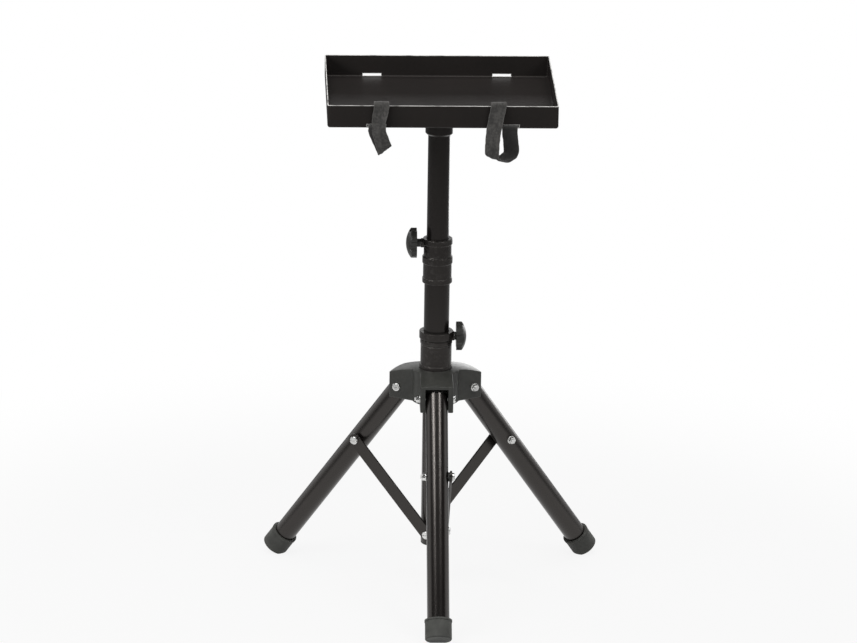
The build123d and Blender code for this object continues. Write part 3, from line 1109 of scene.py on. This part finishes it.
@dataclass
class TrayTop:
    """The tray with its socket and its two straps."""

    finishes: Finishes
    straps: tuple[Strap, ...] = (
        Strap("right_strap", 1, lean=0.018, waist=0.025, waist_out=0.0095,
              waist_tilt=(0.92, -0.36, -0.1), front_sway=0.0275, back_sway=-0.003,
              drop=0.0475, bulge=0.014, turn=0.0095,
              tilts=((0.9, -0.36, -0.2), (0.93, -0.2, -0.3), (0.92, 0.0, -0.4),
                     (0.95, 0.0, -0.3), (1.0, 0.0, -0.1))),
        Strap("left_strap", -1, lean=0.008, waist=0.004, waist_out=0.0075,
              waist_tilt=(0.85, -0.44, 0.28), front_sway=0.0135, back_sway=0.0125,
              drop=0.0345, bulge=0.0064, turn=0.0026,
              tilts=((0.85, -0.12, 0.5), (0.79, 0.0, 0.61), (0.79, 0.0, 0.61),
                     (0.79, 0.0, 0.61), (0.86, 0.0, 0.5))),
    )

    def dress(self) -> None:
        """Coat the steel."""
        self.finishes.coat_nodes(self.finishes.tray_coat, "tray")
        self.finishes.coat_nodes(self.finishes.coat, "tray_socket")

    def build(self) -> None:
        """Make the straps."""
        for strap in self.straps:
            strap.build(self.finishes.of(self.finishes.webbing))


@dataclass
class Column:
    """The inner pole, the outer tube, its collar and the knob that clamps the pole."""

    finishes: Finishes

    def dress(self) -> None:
        """Coat the tubes and the mouldings."""
        self.finishes.coat_nodes(self.finishes.coat, "pole", "main_tube")
        self.finishes.coat_nodes(self.finishes.moulded, "upper_knob", "column_plug")
        self.finishes.coat_nodes(self.finishes.collar, "upper_collar")
        self.finishes.coat_nodes(self.finishes.zinc, "upper_clamp_screw")


@dataclass
class Hub:
    """The hub with its collar, its bolts and the knob that clamps it."""

    finishes: Finishes

    def dress(self) -> None:
        """Give the mouldings and the bolts their finishes."""
        bolts = [f"hub_bolt_{side.value}" for side in Side]
        self.finishes.coat_nodes(self.finishes.hub_moulding, "hub")
        self.finishes.coat_nodes(self.finishes.moulded, "lower_knob")
        self.finishes.coat_nodes(self.finishes.collar, "lower_collar")
        self.finishes.coat_nodes(self.finishes.zinc, "lower_clamp_screw", *bolts)


@dataclass
class Leg:
    """One leg with its plug, boot, brace, spacer and bolts."""

    finishes: Finishes
    side: Side

    def dress(self) -> None:
        """Give the leg's pieces their finishes."""
        name = self.side.value
        self.finishes.coat_nodes(self.finishes.coat, f"leg_{name}", f"brace_{name}")
        self.finishes.coat_nodes(self.finishes.moulded, f"leg_plug_{name}", f"spacer_{name}")
        self.finishes.coat_nodes(self.finishes.rubber, f"boot_{name}")
        self.finishes.coat_nodes(self.finishes.zinc, f"leg_bolt_{name}", f"brace_bolt_{name}")


@dataclass
class Softbox:
    """One soft lamp.

    Attributes:
        name: its name.
        azimuth: its direction round the stand, in degrees, 0 in front.
        elevation: its height above level, in degrees.
        distance: how far it stands from the stand's middle.
        size: its width and height.
        power: its power in watts.
    """

    name: str
    azimuth: float
    elevation: float
    distance: float
    size: Span
    power: float

    def build(self, middle: Vector) -> None:
        """Set the lamp up, turned to the stand.

        Args:
            middle: the middle of the stand.
        """
        lamp = bpy.data.lights.new(self.name, "AREA")
        lamp.shape = "RECTANGLE"
        lamp.size, lamp.size_y = self.size
        lamp.energy = self.power
        back = direction(self.azimuth, self.elevation)
        facing = back.to_track_quat("Z", "Y").to_matrix().to_4x4()
        placed = add_object(self.name, lamp)
        placed.matrix_world = Matrix.Translation(middle + back * self.distance) @ facing
        placed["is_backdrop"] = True


@dataclass
class Studio:
    """The pale floor, the dim ceiling, the white surroundings and the soft lamps.

    Attributes:
        half: half the floor's side.
        paint: the floor's paint.
        glow: how much of the near floor is seen as plain white; the rest keeps the shadow.
        fade: the distances between which the floor turns plain white to the eye, and in gloss
            keeps its own light.
        level: the light of the surroundings.
        ceiling_paint: the paint of the ceiling, which black gloss shows.
        ceiling_height: how high it hangs.
        ceiling_half: half its side.
        lamps: the soft lamps.
    """

    half: float = 30.0
    paint: float = 0.52
    glow: float = 0.89
    fade: Span = (0.6, 1.25)
    level: float = 0.35
    ceiling_paint: float = 0.1
    ceiling_height: float = 3.4
    ceiling_half: float = 8.0
    lamps: tuple[Softbox, ...] = (
        Softbox("left_softbox", azimuth=-57.0, elevation=41.0, distance=1.1,
                size=(0.61, 0.157), power=5.25),
        Softbox("right_softbox", azimuth=46.0, elevation=45.0, distance=1.1,
                size=(0.314, 0.157), power=2.47),
        Softbox("overhead_softbox", azimuth=0.0, elevation=89.0, distance=2.6,
                size=(2.6, 2.6), power=82.0),
        Softbox("rear_softbox", azimuth=158.0, elevation=-1.0, distance=1.6,
                size=(1.2, 0.5), power=5.0),
    )

    def matt(self, shading: Shading, paint: float) -> Value:
        """Return a matt grey paint's shader."""
        return shading.node("ShaderNodeBsdfDiffuse", None, {"Color": (paint, paint, paint, 1.0)})

    def panel(self, name: str, half: float, height: float,
              material: bpy.types.Material) -> bpy.types.Object:
        """Lay a level square.

        Args:
            name: its name.
            half: half its side.
            height: its height.
            material: its paint.

        Returns:
            The square.
        """
        corners = [(-half, -half, height), (half, -half, height),
                   (half, half, height), (-half, half, height)]
        mesh = bpy.data.meshes.new(name)
        mesh.from_pydata(corners, [], [(0, 1, 2, 3)])
        mesh.materials.append(material)
        panel = add_object(name, mesh)
        panel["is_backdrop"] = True
        return panel

    def ceiling(self) -> None:
        """Hang the dim ceiling; views from above look through it."""
        material, shading = blank_material("ceiling_paint")
        matt = self.matt(shading, self.ceiling_paint)
        shading.node("ShaderNodeOutputMaterial", None, {"Surface": matt})
        ceiling = self.panel("ceiling", self.ceiling_half, self.ceiling_height, material)
        ceiling.visible_camera = False

    def floor(self) -> None:
        """Lay the floor."""
        material, shading = blank_material("floor_paint")
        matt = self.matt(shading, self.paint)
        white = shading.node("ShaderNodeEmission", None, {"Color": (*WHITE, 1.0), "Strength": 1.0})
        away = shading.node("ShaderNodeVectorMath", {"operation": "LENGTH"},
                            {"Vector": shading.place()}, "Value")
        far = away.between(*self.fade)
        eye = shading.node("ShaderNodeLightPath", output="Is Camera Ray")
        plain = shading.seen() * (1 - far) * self.glow + eye * far
        shader = shading.node("ShaderNodeMixShader", None,
                              {"Fac": plain, "Shader": matt, "Shader_001": white})
        shading.node("ShaderNodeOutputMaterial", None, {"Surface": shader})
        self.panel("floor", self.half, 0.0, material)

    def surroundings(self) -> None:
        """Light the room evenly and show it white."""
        world = bpy.data.worlds.new("studio")
        world.use_nodes = True
        bpy.context.scene.world = world
        shading = Shading(world.node_tree)
        strength = shading.seen() * (1 - self.level) + self.level
        light = shading.node("ShaderNodeBackground", None,
                             {"Color": (*WHITE, 1.0), "Strength": strength})
        shading.node("ShaderNodeOutputWorld", None, {"Surface": light})

    def build(self) -> None:
        """Set up the floor, the ceiling, the surroundings and the lamps."""
        self.floor()
        self.ceiling()
        self.surroundings()
        low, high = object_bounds()
        for lamp in self.lamps:
            lamp.build((low + high) / 2)
        bpy.context.scene.view_settings.view_transform = "Standard"


@dataclass
class PhotoCamera:
    """The camera at the photograph's place.

    Attributes:
        place: where it stands.
        azimuth: its direction round the stand, in degrees, 0 in front.
        elevation: its angle above level, in degrees.
        roll: how far it leans, in degrees.
        focal: its focal length in pixels.
        reach: how far it sees.
    """

    place: Triple = (-0.3329, -8.9203, 3.2875)
    azimuth: float = -2.04
    elevation: float = 17.58
    roll: float = 0.86
    focal: float = 5970.0
    reach: float = 100.0

    def build(self) -> None:
        """Set the camera up."""
        back = direction(self.azimuth, self.elevation)
        right = (-back).cross(Vector((0.0, 0.0, 1.0))).normalized()
        up = right.cross(-back)
        lean = math.radians(self.roll)
        rows = (right * math.cos(lean) + up * math.sin(lean),
                up * math.cos(lean) - right * math.sin(lean), back)
        data = bpy.data.cameras.new("photo_camera")
        data.sensor_width = SENSOR
        data.lens = self.focal * SENSOR / PHOTO_WIDTH
        data.clip_end = self.reach
        camera = add_object("photo_camera", data)
        camera.matrix_world = Matrix.Translation(self.place) @ Matrix(rows).transposed().to_4x4()
        bpy.context.scene.camera = camera


def main() -> None:
    """Dress the stand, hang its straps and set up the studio."""
    logging.basicConfig(level=logging.INFO, format="%(name)s %(message)s")
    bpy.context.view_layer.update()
    finishes = Finishes()
    top = TrayTop(finishes)
    legs = [Leg(finishes, side) for side in Side]
    for assembly in (top, Column(finishes), Hub(finishes), *legs):
        assembly.dress()
    top.build()
    Studio().build()
    PhotoCamera().build()
    log.info("sizes written")


if __name__ == "__main__":
    main()
